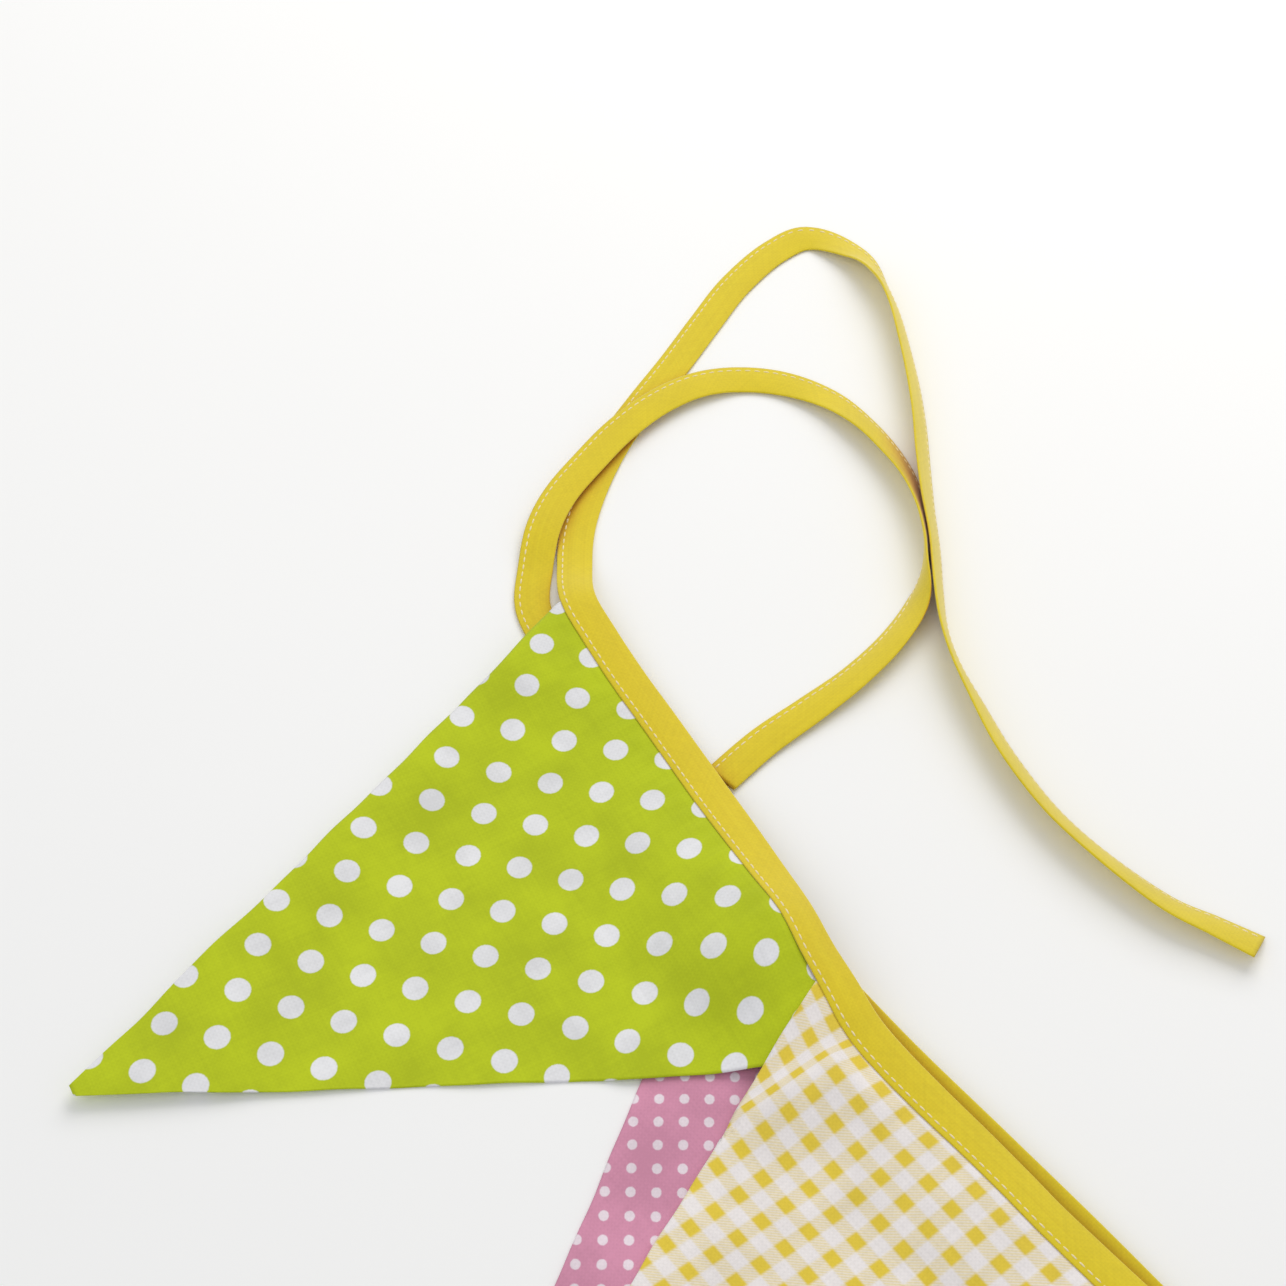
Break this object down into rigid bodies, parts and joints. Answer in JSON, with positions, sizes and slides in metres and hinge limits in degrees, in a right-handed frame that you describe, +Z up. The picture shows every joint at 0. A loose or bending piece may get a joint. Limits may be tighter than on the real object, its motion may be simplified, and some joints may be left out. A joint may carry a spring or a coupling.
{
  "type": "fabric bunting",
  "caption": "Cotton bunting lying loosely on a table: triangular pennants in green dots, yellow gingham and pink dots on a yellow bias tape with long looped ties.",
  "frame": {"origin": "on the table, under the middle of the layout's bounding box", "axes": "+Z up from the table, +X to the right and +Y away from the viewer as it lies in the picture"},
  "size_m": [0.3892, 0.5658, 0.019],
  "materials": {
    "green_dot_cotton": "matte",
    "gingham_cotton": "matte",
    "pink_dot_cotton": "matte",
    "bias_tape": "matte"
  },
  "bodies": {
    "root": {"pennant_green_dots": "green_dot_cotton", "pennant_gingham": "gingham_cotton", "pennant_pink_dots": "pink_dot_cotton", "binding_tape": "bias_tape"}
  },
  "joints": []
}
